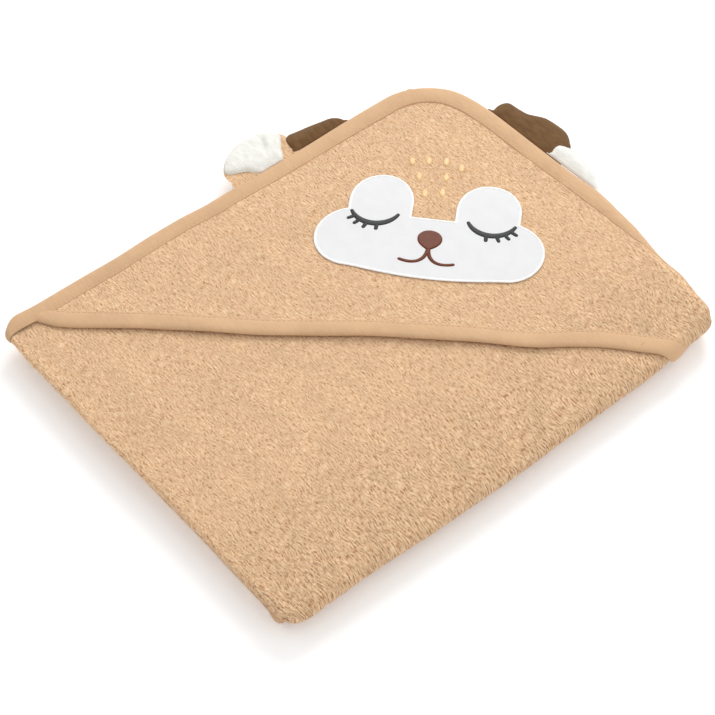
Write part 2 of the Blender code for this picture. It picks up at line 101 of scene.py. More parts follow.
# columns: the front, round the right fold, the middle, round the left fold, the back
RIGHT_BEND = front_high.x - (FRONT_Z + STACK - RIGHT_FOLD_Z) + GAP / 2
LEFT_BEND = LOWER_LEFT + LEFT_FOLD_Z - BACK_Z
FOLD_RUN = pi * ROW_HIGH                            # cloth that a column fold takes up
S1 = RIGHT_BEND - LEFT
S2 = S1 + FOLD_RUN
S3 = S2 + RIGHT_BEND - LEFT_BEND
S4 = S3 + FOLD_RUN
S5 = S4 + BACK_RIGHT - LEFT_BEND
HALF_WAY = (S2 + S3) / 2                            # the cloth's two halves meet under the middle

HOOD_LEG = 2 * front_high.x + HOOD_PAST_CENTRE
HOOD_SPLIT = S1 - HOOD_STAYS                        # the hood lifts up to here and is still beyond


# ---------------------------------------------------------------- small tools
def smooth(x):
    """0 up to 0, 1 from 1, and an easy slope between."""
    x = np.clip(x, 0.0, 1.0)
    return x * x * (3 - 2 * x)


def curve(x, points):
    """A smooth line through a few (x, y) points that never overshoots them, level beyond its ends."""
    px, py = np.array(points, float).T
    rise = np.diff(py) / np.diff(px)
    before, after = rise[:-1], rise[1:]
    slope = np.zeros(len(px))
    same = before * after > 0
    slope[1:-1][same] = 2 * before[same] * after[same] / (before[same] + after[same])
    x = np.clip(x, px[0], px[-1])
    i = np.clip(np.searchsorted(px, x, "right") - 1, 0, len(px) - 2)
    width = px[i + 1] - px[i]
    u = (x - px[i]) / width
    a, b = py[i], py[i + 1]
    return (a * (1 + 2 * u) * (1 - u) ** 2 + b * u * u * (3 - 2 * u)
            + width * slope[i] * u * (1 - u) ** 2 - width * slope[i + 1] * u * u * (1 - u))


def wave(x, y, seed):
    """Smooth noise from -1 to 1 that varies over a distance of 1."""
    table = np.random.default_rng(seed).random((128, 128)) * 2 - 1
    x, y = np.broadcast_arrays(np.asarray(x, float), np.asarray(y, float))
    i, j = np.floor(x).astype(int), np.floor(y).astype(int)
    u, v = smooth(x - i), smooth(y - j)
    i, j = i % 128, j % 128
    i1, j1 = (i + 1) % 128, (j + 1) % 128
    low = table[i, j] * (1 - u) + table[i1, j] * u
    high = table[i, j1] * (1 - u) + table[i1, j1] * u
    return low * (1 - v) + high * v


def steps(*stops):
    """Values from stop to stop: (value, spacing up to the next stop), ..., (last value,)."""
    values = []
    for (a, gap), b in zip(stops, [s[0] for s in stops[1:]]):
        count = max(1, int(round(abs(b - a) / gap)))
        values += list(a + (b - a) * np.arange(count) / count)
    return np.array(values + [stops[-1][0]])


# ---------------------------------------------------------------- from the flat cloth to the pile
def in_mm(*pairs):
    return [(x * MM, y * MM) for x, y in pairs]


# Past the hood's middle the towel's top edge hangs over the lower layers, and at the right fold it
# curls in between them. The first two lines give a length in metres for an s, the others for a Y.
TOP_LINE = [(0.0, TOP), (0.018, TOP), (0.035, TOP - 0.0013), (0.055, TOP - 0.0003), (0.09, TOP),
            (0.205, TOP), (0.225, TOP - 0.003), (S1, TOP - 0.006), (S2, TOP - 0.006),
            (S2 + 0.03, LOWER_TOP), (S5, LOWER_TOP)]
OVERHANG = in_mm((95, 0), (115, 0), (130, 2), (142, 5), (154, 7.4), (167, 9), (182, 11.8), (192, 13.5),
                 (202, 14.1), (218, 12.8), (231, 12.4))
OVERHANG += [(S1, 0.0120), (S2, 0.0120), (S2 + 0.03, 0.0), (S5, 0.0)]
SIDE_IN = in_mm((-158, 2.4), (-145, 3.8), (-120, 3.2), (-90, 2.2), (-60, 1.2), (-20, 0.8), (20, 1.2),
                (60, 1.2), (95, 2.2), (115, 5.2), (135, 6), (160, 5))
LEFT_OUT = in_mm((-160, 5), (-145, 3.4), (-130, 2.1), (-110, 1.9), (-80, 1.1), (-55, 1.9), (-35, 2.2),
                 (-12, 0.4), (20, 0), (100, 0))
WIDE_CURL, TIGHT_CURL = 0.0045, 0.0017              # the curl's radius before and at the right fold
CURL_TURN, CURL_MORE = radians(88), radians(92)     # how far it turns, and how much more at the fold
CURL_TIGHTENS, CURL_CLOSES = (0.200, 0.035), (0.205, 0.033)     # from this s, over this length
# corners of the pile, seen from above: where a square one would be, its size and which way it points
PILE_CORNERS = (((0.125, BOTTOM), 0.013, 1, -1), ((0.1245, 0.146), 0.014, 1, 1),
                ((LEFT, BOTTOM), 0.014, -1, -1))
NEAR_EDGE = 0.045                                   # the bottom edge's pull reaches this far in
FLOOR_PRESS = 0.0008          # below this height the cloth is pressed flatter and flatter, not cut off


def rows(s, t, n):
    """Y and the height in the stack of a flat point, once its column's rows are folded."""
    top = curve(s, TOP_LINE)
    start = top - curve(s, OVERHANG)
    radius = WIDE_CURL + (TIGHT_CURL - WIDE_CURL) * smooth((s - CURL_TIGHTENS[0]) / CURL_TIGHTENS[1])
    full_turn = CURL_TURN + CURL_MORE * smooth((s - CURL_CLOSES[0]) / CURL_CLOSES[1])
    flat = top - t * (top - BOTTOM_BEND) / T1
    over = np.maximum(flat - start, 0)
    turn = np.minimum(over / radius, full_turn)
    rest = np.maximum(over - radius * full_turn, 0)
    y0 = np.minimum(flat, start) + (radius + n) * np.sin(turn) + rest * np.cos(full_turn)
    h0 = ROW_HIGH - radius + (radius + n) * np.cos(turn) - rest * np.sin(full_turn)

    a = (t - T1) / PITCH
    y1, h1 = BOTTOM_BEND - (PITCH + n) * np.sin(a), ROW_TUCKED + (PITCH + n) * np.cos(a)
    y2, h2 = BOTTOM_BEND + (t - T2), ROW_LOW - n
    b = (t - T3) / (PITCH / 2)
    centre = (ROW_LOW + ROW_TUCKED) / 2
    y3, h3 = TOP_BEND + (PITCH / 2 + n) * np.sin(b), centre - (PITCH / 2 + n) * np.cos(b)
    y4, h4 = TOP_BEND - (t - T4), ROW_TUCKED + n
    stage = [t < T1, t < T2, t < T3, t < T4]
    return np.select(stage, [y0, y1, y2, y3], y4), np.select(stage, [h0, h1, h2, h3], h4)


def columns(s, h):
    """X and Z of a point that is h high in its stack."""
    a = pi * (s - S1) / FOLD_RUN
    b = pi * (s - S3) / FOLD_RUN
    right = h + FRONT_Z - RIGHT_FOLD_Z
    left = LEFT_FOLD_Z - BACK_Z - h
    xs = [LEFT + s, RIGHT_BEND + right * np.sin(a), RIGHT_BEND - (s - S2),
          LEFT_BEND - left * np.sin(b)]
    zs = [FRONT_Z + h, RIGHT_FOLD_Z + right * np.cos(a), MIDDLE_Z + STACK - h,
          LEFT_FOLD_Z + left * np.cos(b)]
    stage = [s < S1, s < S2, s < S3, s < S4]
    return np.select(stage, xs, LEFT_BEND + (s - S4)), np.select(stage, zs, BACK_Z + h)


def round_plan(x, y, corner, size, sx, sy):
    """Draws a square corner of the pile in to a round one. sx and sy point out of the corner."""
    a = np.maximum(1 + sx * (x - corner[0]) / size, 0)
    b = np.maximum(1 + sy * (y - corner[1]) / size, 0)
    x1 = a * np.sqrt(1 - np.minimum(b, 1) ** 2 / 2)
    y1 = b * np.sqrt(1 - np.minimum(a, 1) ** 2 / 2)
    return x + sx * (x1 - a) * size, y + sy * (y1 - b) * size


def settle(x, y, z):
    """The pile as it lies: thin at one corner, soft on top, its corners drawn in."""
    for corner in PILE_CORNERS:
        x, y = round_plan(x, y, *corner)

    along = smooth((x - LEFT) / 0.235)              # 0 at the thin corner, 1 towards the thick one
    near_edge = 1 - smooth((y - BOTTOM) / NEAR_EDGE)
    lower = np.clip(1 - z / FRONT_Z, 0, 1)
    # the near edge draws in: its lower layers most, and the thin corner with the stretch beside it
    y = y + (0.0125 - 0.0095 * along) * near_edge * lower
    y = y + 0.0026 * near_edge * (1 - smooth((x - LEFT) / 0.035))
    y = y + 0.0010 * near_edge * smooth((x - LEFT) / 0.02) * (1 - smooth((x - LEFT - 0.09) / 0.05))
    # the left edge bulges out, and the right one pulls in, its lower layers a little more
    x = x - curve(y, LEFT_OUT) * (1 - smooth((x - LEFT) / 0.06))
    x = x - curve(y, SIDE_IN) * smooth((x - 0.06) / 0.06)
    x = x - 0.0020 * smooth((x - 0.100) / 0.02) * lower
    z = z * (1 - 0.05 * (1 - along) * near_edge)

    # the right fold's near end stands open
    hollow = 0.0017 * np.exp(-((x - 0.103) / 0.006) ** 2) * (1 - smooth((y - BOTTOM) / 0.012))
    z = z + hollow * np.tanh((z - RIGHT_FOLD_Z) / 0.0015)

    soft = (0.0009 * wave(x / 0.085 + 3.1, y / 0.070 + 7.7, 5)
            + 0.0005 * wave(x / 0.034, y / 0.029, 6) - 0.0006)
    z = z + soft * np.clip(z / (FRONT_Z + STACK), 0, 1.1)
    x = x + 0.0006 * wave(y / 0.05, z / 0.01, 7)
    y = y + 0.0008 * wave(x / 0.06 + 2.5, z / 0.008, 8)
    pressed = FLOOR_PRESS * np.exp(np.minimum(z / FLOOR_PRESS, 1) - 1)
    return np.stack([x, y, np.where(z < FLOOR_PRESS, pressed, z)], -1)


def fold(s, t, n):
    """Where a flat point of the towel lies in the pile."""
    s, t, n = np.broadcast_arrays(*[np.asarray(v, float) for v in (s, t, n)])
    y, h = rows(s, t, n)
    x, z = columns(s, h)
    return settle(x, y, z)


# the mouth's free edge wanders a few millimetres, by how far along the mouth it is
MOUTH_WANDER = in_mm((-215, 3), (-190, 8), (-165, 6), (-140, 4), (-85, 4), (-55, 2), (-20, 0), (30, 0),
                     (60, 1.5), (85, -2), (105, -4), (125, -3), (145, -1), (215, -1))


def on_hood(s, t, n):
    """Where a flat point of the hood lies: over the front's cloth, a little puffed."""
    s, t, n = np.broadcast_arrays(*[np.asarray(v, float) for v in (s, t, n)])
    share = np.clip((s + t) / HOOD_LEG, 0, 1.1)
    wander = curve((s - t) / 2 ** 0.5, MOUTH_WANDER) * share ** 2 / 2
    inside = smooth(s / 0.05) * smooth(t / 0.05) * smooth((S1 - s) / 0.05)
    puff = 0.0003 * inside * (1 + 0.8 * wave(s / 0.05, t / 0.05, 11))
    lip = 0.0006 * smooth((share - 0.93) / 0.07) * inside * (1 + wave((s - t) / 0.04, 0.5, 12))
    return fold(s + wander, t + wander, n + HOOD_N + puff + lip)


# ---------------------------------------------------------------- meshes
SHARP = radians(75)


def add_object(name, data):
    obj = bpy.data.objects.new(name, data)
    bpy.context.scene.collection.objects.link(obj)
    return obj


def make_object(name, points, faces, uv, material):
    """A smooth-shaded object. faces is a list of index arrays with 3 or 4 columns."""
    mesh = bpy.data.meshes.new(name)
    loops = np.concatenate([f.ravel() for f in faces]).astype(np.int32)
    totals = np.concatenate([np.full(len(f), f.shape[1]) for f in faces]).astype(np.int32)
    mesh.vertices.add(len(points))
    mesh.vertices.foreach_set("co", np.asarray(points, np.float32).ravel())
    mesh.loops.add(len(loops))
    mesh.loops.foreach_set("vertex_index", loops)
    mesh.polygons.add(len(totals))
    starts = np.concatenate([[0], np.cumsum(totals)[:-1]]).astype(np.int32)
    mesh.polygons.foreach_set("loop_start", starts)
    mesh.polygons.foreach_set("use_smooth", np.ones(len(totals), bool))
    layer = mesh.uv_layers.new(name="cloth")
    layer.data.foreach_set("uv", np.asarray(uv, np.float32)[loops].ravel())
    mesh.update(calc_edges=True)
    mesh.validate()
    mesh.materials.append(material)
    return add_object(name, mesh)


def closed_object(name, outer, inner, faces, uv, material):
    """A closed shell from the points and faces of its outer side and the same points of its inner side."""
    count = len(outer)
    edges = np.concatenate([np.stack([f, np.roll(f, -1, axis=1)], -1).reshape(-1, 2) for f in faces])
    key = edges[:, 0] * count + edges[:, 1]
    back = edges[:, 1] * count + edges[:, 0]
    a, b = edges[~np.isin(key, back)].T
    walls = np.stack([b, a, a + count, b + count], -1)
    faces = faces + [f[:, ::-1] + count for f in faces] + [walls]
    return make_object(name, np.concatenate([outer, inner]), faces, np.concatenate([uv, uv]), material)


def grid_faces(lines, cols, wrap=False):
    """Quads between the points of a grid, for points listed line after line."""
    i = np.arange(lines - 1)[:, None]
    j = np.arange(cols if wrap else cols - 1)[None, :]
    a = i * cols + j
    b = i * cols + (j + 1) % cols
    return np.stack([a, b, b + cols, a + cols], -1).reshape(-1, 4)


def sheet_object(name, s, t, faces, place, thickness, material, pile=0.0):
    """A closed sheet of cloth. place carries flat points to the pile; pile roughens the right side."""
    rough = pile * (
        0.75 * wave(s / 0.0040 + 0.3 * wave(s / 0.02, t / 0.02, 31), t / 0.0024, 21)
        + 0.25 * wave(s / 0.0120, t / 0.0060, 22))
    obj = closed_object(name, place(s, t, thickness / 2 + rough), place(s, t, -thickness / 2), faces,
                        np.stack([s, t], -1), material)
    obj.data.set_sharp_from_angle(angle=SHARP)
    return obj


def mend_normals(obj):
    bm = bmesh.new()
    bm.from_mesh(obj.data)
    bmesh.ops.recalc_face_normals(bm, faces=bm.faces)
    bm.to_mesh(obj.data)
    bm.free()
    obj.data.set_sharp_from_angle(angle=SHARP)
    return obj


def tubes(name, parts, place, material, closed=False):
    """One object of closed skins. Each part is a row of cross-sections of flat (s, t, n) points."""
    points, faces, uvs, first = [], [], [], 0
    for part in parts:
        count, around = part.shape[:2]
        faces.append((grid_faces(count + 1 if closed else count, around, True) % (count * around)) + first)
        if not closed:
            j = np.arange((around - 1) // 2)
            cap = np.stack([j, j + 1, around - 2 - j, around - 1 - j], -1)
            cap = cap[cap[:, 1] < cap[:, 2]]
            for start in (first, first + (count - 1) * around):
                faces.append(cap + start)
                if around % 2:
                    m = around // 2
                    faces.append(np.array([[m - 1, m, m + 1]]) + start)
        flat = part.reshape(-1, 3)
        points.append(flat)
        uvs.append(flat[:, :2])
        first += len(flat)
    points = np.concatenate(points)
    placed = place(points[:, 0], points[:, 1], points[:, 2])
    return mend_normals(make_object(name, placed, faces, np.concatenate(uvs), material))


# ---------------------------------------------------------------- materials
def linear(colour):
    return tuple(c / 12.92 if c <= 0.04045 else ((c + 0.055) / 1.055) ** 2.4
                 for c in (v / 255 for v in colour))


class Nodes:
    """A material's node tree, written one call to a node."""

    def __init__(self, name, roughness, sheen=0.0, sheen_roughness=0.5, sheen_tint=(1, 1, 1)):
        self.material = bpy.data.materials.new(name)
        self.material.use_nodes = True
        self.tree = self.material.node_tree
        self.shader = self.tree.nodes["Principled BSDF"]
        self.fill(self.shader, {"Roughness": roughness, "Specular IOR Level": 0.25, "Sheen Weight": sheen,
                                "Sheen Roughness": sheen_roughness, "Sheen Tint": (*sheen_tint, 1)})
        uv = self.new("UVMap", {}, uv_map="cloth").outputs["UV"]
        self.flat = self.math("MULTIPLY", uv, (1000, 1000, 1000), vector=True)

    def fill(self, node, inputs):
        """Links a node's inputs to sockets, or sets them to values."""
        for key, value in inputs.items():
            if isinstance(value, bpy.types.NodeSocket):
                self.tree.links.new(value, node.inputs[key])
            else:
                node.inputs[key].default_value = value

    def new(self, kind, inputs, **settings):
        node = self.tree.nodes.new("ShaderNode" + kind)
        for key, value in settings.items():
            setattr(node, key, value)
        self.fill(node, inputs)
        return node

    def math(self, operation, a, b, vector=False):
        return self.new("VectorMath" if vector else "Math", {0: a, 1: b}, operation=operation).outputs[0]

    def mixed(self, a, share_a, b, share_b):
        return self.math("ADD", self.math("MULTIPLY", a, share_a), self.math("MULTIPLY", b, share_b))

    def across(self):
        """How far along the columns, in millimetres."""
        return self.new("SeparateXYZ", {0: self.flat}).outputs[0]

    def stretch(self, source, along, across, turn=0.0):
        """Flat coordinates in units of a feature's size, turned by an angle."""
        return self.new("Mapping", {"Scale": (1 / along, 1 / across, 1), "Rotation": (0, 0, turn),
                                    "Vector": source}).outputs[0]

    def noise(self, along, across, turn=0.0, detail=2.0, roughness=0.5, source=None, output="Fac"):
        place = self.stretch(source or self.flat, along, across, turn)
        return self.new("TexNoise", {"Scale": 1, "Detail": detail, "Roughness": roughness, "Vector": place},
                        noise_dimensions="2D").outputs[output]

    def weave(self, pitch, turn=0.0):
        """Two sets of threads, one thread to a pitch."""
        place = self.stretch(self.flat, pitch, pitch, turn)
        stripes = [self.new("TexWave", {"Scale": 0.314, "Distortion": 0.0, "Detail": 1, "Vector": place},
                            wave_type="BANDS", bands_direction=way).outputs["Fac"] for way in "XY"]
        return self.math("MULTIPLY", *stripes)

    def spread(self, value, low, high, new_low=0.0, new_high=1.0):
        return self.new("MapRange", {"From Min": low, "From Max": high, "To Min": new_low,
                                     "To Max": new_high, "Value": value}).outputs[0]

    def ramp(self, value, *stops):
        node = self.new("ValToRGB", {"Fac": value})
        while len(node.color_ramp.elements) < len(stops):
            node.color_ramp.elements.new(0.5)
        for element, (place, colour) in zip(node.color_ramp.elements, stops):
            element.position = place
            element.color = (*linear(colour), 1)
        return node.outputs["Color"]

    def patches(self, colour, size, low, high, detail=2, roughness=0.5):
        """The colour, a little darker and lighter in patches."""
        cloud = self.noise(*size, detail=detail, roughness=roughness)
        return self.new("Mix", {"Factor": 1, "A": colour, "B": self.spread(cloud, 0.3, 0.7, low, high)},
                        data_type="RGBA", blend_type="MULTIPLY").outputs["Result"]

    def finish(self, colour, height, depth, strength=1.0):
        bump = self.new("Bump", {"Strength": strength, "Distance": depth, "Height": height}).outputs[0]
        self.fill(self.shader, {"Normal": bump, "Base Color": colour})
        return self.material


# the terry's own tone, a lighter one painted on the loop tips as highlight, and darker ones painted in the
# crevices as shade
TERRY, TERRY_LIT_TIP = (230, 189, 147), (245, 214, 175)
TERRY_SHADE, TERRY_CREVICE_SHADE = (212, 167, 124), (166, 118, 82)
TAPE_COLOUR, TAPE_DEEP = (214, 177, 138), (196, 157, 119)
SEWING, SEWING_DEEP = (222, 182, 140), (184, 143, 103)
COMBED = radians(4)                                 # the terry's loops lie this far off its rows
BIAS = radians(45)


def terry_material(name):
    """Cotton loops under a millimetre across, combed into short streaks along the rows."""
    m = Nodes(name, 0.95, sheen=0.2, sheen_roughness=0.6, sheen_tint=(1.0, 0.92, 0.84))
    swirl = m.noise(14, 14, detail=1, output="Color")
    swirl = m.math("MULTIPLY", m.math("SUBTRACT", swirl, (0.5, 0.5, 0.5), True), (4, 4, 0), True)
    flat = m.math("ADD", m.flat, swirl, True)
    cells = m.new("TexVoronoi", {"Scale": 1, "Vector": m.stretch(flat, 1.5, 0.75, COMBED)},
                  voronoi_dimensions="2D")
    loops = m.spread(cells.outputs["Distance"], 0.15, 0.75, 1.0, 0.0)
    streaks = m.spread(m.noise(4.2, 0.72, COMBED, roughness=0.6, source=flat), 0.32, 0.68)
    fine = m.math("SUBTRACT", m.noise(0.5, 0.35, detail=1), 0.5)
    height = m.math("ADD", m.mixed(loops, 0.40, streaks, 0.60), m.math("MULTIPLY", fine, 0.40))
    # towards the right fold the streaks stand out more, in the bump and in the painted shade between them
    opened = m.spread(m.across(), 1000 * S1 - 75, 1000 * S1 - 5, 0.0, 0.30)
    height = m.math("ADD", height, m.math("MULTIPLY", m.math("SUBTRACT", streaks, 0.62), opened))
    # painted shade and highlight: the colour darkens where the pile is low, between the loops, and lightens
    # on the loop tips
    colour = m.ramp(height, (0.0, TERRY_CREVICE_SHADE), (0.25, TERRY_SHADE), (0.55, TERRY), (1.0, TERRY_LIT_TIP))
    return m.finish(m.patches(colour, (30, 22), 0.955, 1.02, 3, 0.6), height, 0.0008, 0.75)


def tape_material(name):
    """Plain-woven cotton bias tape, its threads at 45 degrees to its edge."""
    m = Nodes(name, 0.75, sheen=0.15, sheen_roughness=0.4)
    weave, slub = m.weave(0.42, BIAS), m.noise(6, 0.5, BIAS)
    colour = m.ramp(m.mixed(weave, 0.4, slub, 0.6), (0.15, TAPE_DEEP), (0.6, TAPE_COLOUR))
    return m.finish(m.patches(colour, (18, 18), 0.95, 1.03), m.math("ADD", weave, slub), 0.00008, 0.5)


def thread_material(name, deep, bright):
    """Glossy embroidery thread: fine fibres across the stitches."""
    m = Nodes(name, 0.45, sheen=0.1, sheen_roughness=0.3)
    fibres = m.noise(0.9, 0.30, radians(35))
    colour = m.ramp(fibres, (0.3, deep), (0.62, bright))
    return m.finish(m.patches(colour, (3, 3), 0.92, 1.04, 1), fibres, 0.00012, 0.6)


def woven_white_material(name):
    """The applique's smooth, close-woven white cotton."""
    m = Nodes(name, 0.8, sheen=0.1)
    weave, cloud = m.weave(0.5), (9, 7)
    colour = m.ramp(weave, (0.0, (218, 218, 219)), (0.7, (229, 229, 230)))
    height = m.math("ADD", weave, m.noise(*cloud))
    return m.finish(m.patches(colour, cloud, 0.98, 1.01), height, 0.00006, 0.6)


def pile_material(name, deep, bright, size, depth, sheen, tint=(1, 1, 1)):
    """Short, dense pile, as on the plush and the brushed cloth of the antlers."""
    m = Nodes(name, 0.95, sheen=sheen, sheen_tint=tint)
    tufts = m.noise(size, size * 0.8, detail=3, roughness=0.65)
    colour = m.ramp(m.mixed(tufts, 0.6, m.noise(7, 2.5, radians(20)), 0.4), (0.35, deep), (0.62, bright))
    return m.finish(colour, tufts, depth, 0.8)


terry = terry_material("terry_loops")
tape_cloth = tape_material("bias_tape")
sewing = thread_material("sewing_thread", SEWING_DEEP, SEWING)
applique_cloth = woven_white_material("white_cotton")
satin = thread_material("white_satin", (236, 236, 234), (252, 252, 250))
dark_thread = thread_material("dark_thread", (26, 27, 28), (58, 59, 59))
brown_thread = thread_material("brown_thread", (72, 29, 14), (120, 56, 26))
freckle_thread = thread_material("freckle_thread", (226, 188, 134), (248, 216, 164))
plush = pile_material("white_plush", (221, 220, 212), (241, 240, 234), 0.8, 0.0005, 0.2)
twill = pile_material("brown_brushed", (91, 64, 36), (115, 83, 49), 0.45, 0.0002, 0.15, (1, 0.85, 0.7))


# ---------------------------------------------------------------- pieces, and each point's share of two bodies
def with_front(s, t):
    """How far each point goes with the front rather than the middle, by its place round the fold."""
    return 1 - np.clip((s - S1) / FOLD_RUN, 0, 1)


def with_back(s, t):
    return np.clip((s - S3) / FOLD_RUN, 0, 1)


def with_mouth(s, t):
    """How far each point of the hood goes up with the mouth. Its two sewn edges stay down."""
    middle = HOOD_LEG / 2
    across = np.minimum(smooth(s / middle), smooth((HOOD_SPLIT - s) / (HOOD_SPLIT - middle)))
    return across * smooth(t / middle)


ON_FRONT = (with_front, "root", "front_stack")
ON_BACK = (with_back, "root", "back_stack")
ON_HOOD = (with_mouth, "front_stack", "hood")


def flat_places(obj):
    """Each vertex's s and t, from its UV map."""
    mesh = obj.data
    corner = np.zeros(len(mesh.loops), np.int32)
    mesh.loops.foreach_get("vertex_index", corner)
    uv = np.zeros(len(mesh.loops) * 2, np.float32)
    mesh.uv_layers["cloth"].data.foreach_get("uv", uv)
    found = np.zeros((len(mesh.vertices), 2))
    found[corner] = uv.reshape(-1, 2)
    return found


def finish_piece(obj, replaced, between):
    """Hides the CAD nodes that a piece stands for and bakes it; its points' share of two bodies is not kept.
    """
    share, *bodies = between
    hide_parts(*replaced)
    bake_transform(obj)
    weights = share(*flat_places(obj).T)
    return obj


# ---------------------------------------------------------------- the towel's cloth, in two halves
FINE_STEP = 1.15 * MM                               # between points where the cloth shows
PILE_ROUGH, HIDDEN_ROUGH = 0.00022, 0.00010         # the terry's roughness where it shows and beneath


def round_cloth(s, t):
    """Draws the flat cloth's square corners in to round ones, EDGE inside its tape's edge."""
    size = CORNER - EDGE
    for sx, cx in ((-1, CORNER), (1, S5 - CORNER)):
        for sy, cy in ((-1, CORNER), (1, T5 - CORNER)):
            a, b = np.maximum(sx * (s - cx) / size, 0), np.maximum(sy * (t - cy) / size, 0)
            inside = (a > 0) & (b > 0)
            s = np.where(inside, cx + sx * size * a * np.sqrt(1 - b * b / 2), s)
            t = np.where(inside, cy + sy * size * b * np.sqrt(1 - a * a / 2), t)
    return s, t


def towel_half(half, across, top_step, rough, between):
    """Half the towel, its rows this far apart in the top layer and close together round each fold."""
    down = steps((EDGE, top_step), (T1, 0.5 * MM), (T2, 4 * MM), (T3, 0.4 * MM), (T4, 4 * MM), (T5 - EDGE,))
    s, t = np.meshgrid(across, down, indexing="ij")
    s, t = round_cloth(s.ravel(), t.ravel())
    faces = [grid_faces(len(across), len(down))]
    obj = sheet_object(f"towel_{half}_half", s, t, faces, fold, CLOTH, terry, pile=rough)
    return finish_piece(obj, [f"towel_{half}_panel", "towel_middle_panel"], between)


def build_towel():
    front = steps((EDGE, FINE_STEP), (S1, 0.6 * MM), (S2, 2.5 * MM), (HALF_WAY,))
    back = steps((HALF_WAY, 2.5 * MM), (S3, 0.6 * MM), (S4, 2.5 * MM), (S5 - EDGE,))
    return (towel_half("front", front, FINE_STEP, PILE_ROUGH, ON_FRONT),
            towel_half("back", back, 3 * MM, HIDDEN_ROUGH, ON_BACK))


# ---------------------------------------------------------------- tape
SEAM_IN = 1.3 * MM                                  # stitching, from the tape's inner edge
SEAM_SUNK = 0.10 * MM
TAPE_LOW = -CLOTH / 2 - 0.25 * MM
TAPE_OVER = 0.35 * MM                               # how far a tape stands over its cloth
INWARD_OF_MOUTH = (-0.5 ** 0.5, -0.5 ** 0.5)


def tape_profile(width, low, high, thickness=0.0004):
    """A bias tape's cross-section as (inward, n) points: a U whose open side faces inwards."""
    middle, half, nose = (low + high) / 2, (high - low) / 2, 0.0024
    d = width * (1 - np.array([0, 0.04, 0.08, 0.13, 0.2, 0.3, 0.42, 0.55, 0.68, 0.79, 0.87, 0.93, 0.97,
                               0.992, 1]))
    round_ = np.sqrt(1 - np.clip((nose - d) / nose, 0, 1) ** 2)
    groove = 0.16 * MM * np.exp(-((d - width + SEAM_IN) / (0.5 * MM)) ** 2)
    bulge = 0.80 * MM * np.sin(pi * np.clip(d / (width - SEAM_IN), 0, 1)) ** 0.8
    flat_end = 0.50 * MM * smooth((d - width + 0.6 * MM) / (0.6 * MM))
    upper = np.stack([d, middle + half * round_ + bulge - groove - flat_end], -1)
    lower = np.stack([d, middle - half * round_], -1)[::-1][1:]
    d = np.array([width, width * 0.6, width * 0.3, 0.0014, 0.0008])
    narrow = np.sqrt(1 - np.clip((0.0020 - d) / 0.0020, 0, 1) ** 2)
    inner_low = np.stack([d, middle - (half - thickness) * narrow], -1)
    inner_high = np.stack([d, middle + (half - thickness) * narrow - 0.50 * MM * (d == width)], -1)[::-1]
    return np.concatenate([upper, lower, inner_low, inner_high])


def lengths_along(line):
    """How far along a line each of its points is."""
    return np.concatenate([[0], np.cumsum(np.linalg.norm(np.diff(line, axis=0), axis=1))])


def stitches(points, inward, distance, height, length=2.1 * MM, pitch=2.9 * MM, radius=0.22 * MM):
    """A row of short thread capsules at this distance inside an edge, as flat tube parts."""
    line = points + inward * distance
    reach = lengths_along(line)
    facts = np.column_stack([line, inward, np.broadcast_to(height, len(line))])
    angles = np.arange(6) * pi / 3
    parts = []
    for start in np.arange(pitch, reach[-1] - pitch, pitch):
        at = start + length * np.array([0, 0.12, 0.5, 0.88, 1.0])
        size = radius * np.array([[0.25], [0.8], [1.0], [0.8], [0.25]])
        sink = radius * np.array([-1.2, -0.2, 0.35, -0.2, -1.2])
        s, t, i, j, n = [np.interp(at, reach, fact)[:, None] for fact in facts.T]
        ring = [s + size * np.cos(angles) * i, t + size * np.cos(angles) * j,
                n + sink[:, None] + size * np.sin(angles)]
        parts.append(np.stack(ring, -1))
    return parts


def tape_height(s, t):
    """How high the perimeter tape stands: higher where the hood's cloth is inside it too."""
    over_hood = 1 - smooth((s + t - HOOD_LEG - 0.004) / 0.016)
    tip = np.exp(-((s + t) / 0.10) ** 2)
    return CLOTH / 2 + TAPE_OVER + over_hood * (HOOD_N + 0.25 * MM) + tip * 0.3 * MM


def tape_width(s, t):
    """The tape is pushed out a little wider where it turns the hood's corner."""
    return TAPE + 2.4 * MM * np.exp(-((s + t) / 0.09) ** 2)


def edge_side(s, t, inward):
    """A straight part of the towel's edge, with s or t constant: its points and inward directions."""
    points = np.column_stack(np.broadcast_arrays(s, t))
    return points, np.tile(inward, (len(points), 1))


def edge_corner(s, t, start):
    """A round corner of the edge about this centre, a quarter turn on from an angle."""
    a = np.radians(np.linspace(start, start + 90, 34))[1:-1]
    out = np.column_stack([np.cos(a), np.sin(a)])
    return (s, t) + CORNER * out, -out


def tape_edge(across, down, first_half):
    """Half the towel's edge, from one end of the other half to its other end."""
    far_s, far_t = S5 - CORNER, T5 - CORNER
    if first_half:
        runs = (edge_side(across[::-1], T5, (0, -1)), edge_corner(CORNER, far_t, 90),
                edge_side(0.0, down[::-1], (1, 0)), edge_corner(CORNER, CORNER, 180),
                edge_side(across, 0.0, (0, 1)))
    else:
        runs = (edge_side(across, 0.0, (0, 1)), edge_corner(far_s, CORNER, 270),
                edge_side(S5, down, (-1, 0)), edge_corner(far_s, far_t, 0),
                edge_side(across[::-1], T5, (0, -1)))
    return [np.concatenate(run) for run in zip(*runs)]


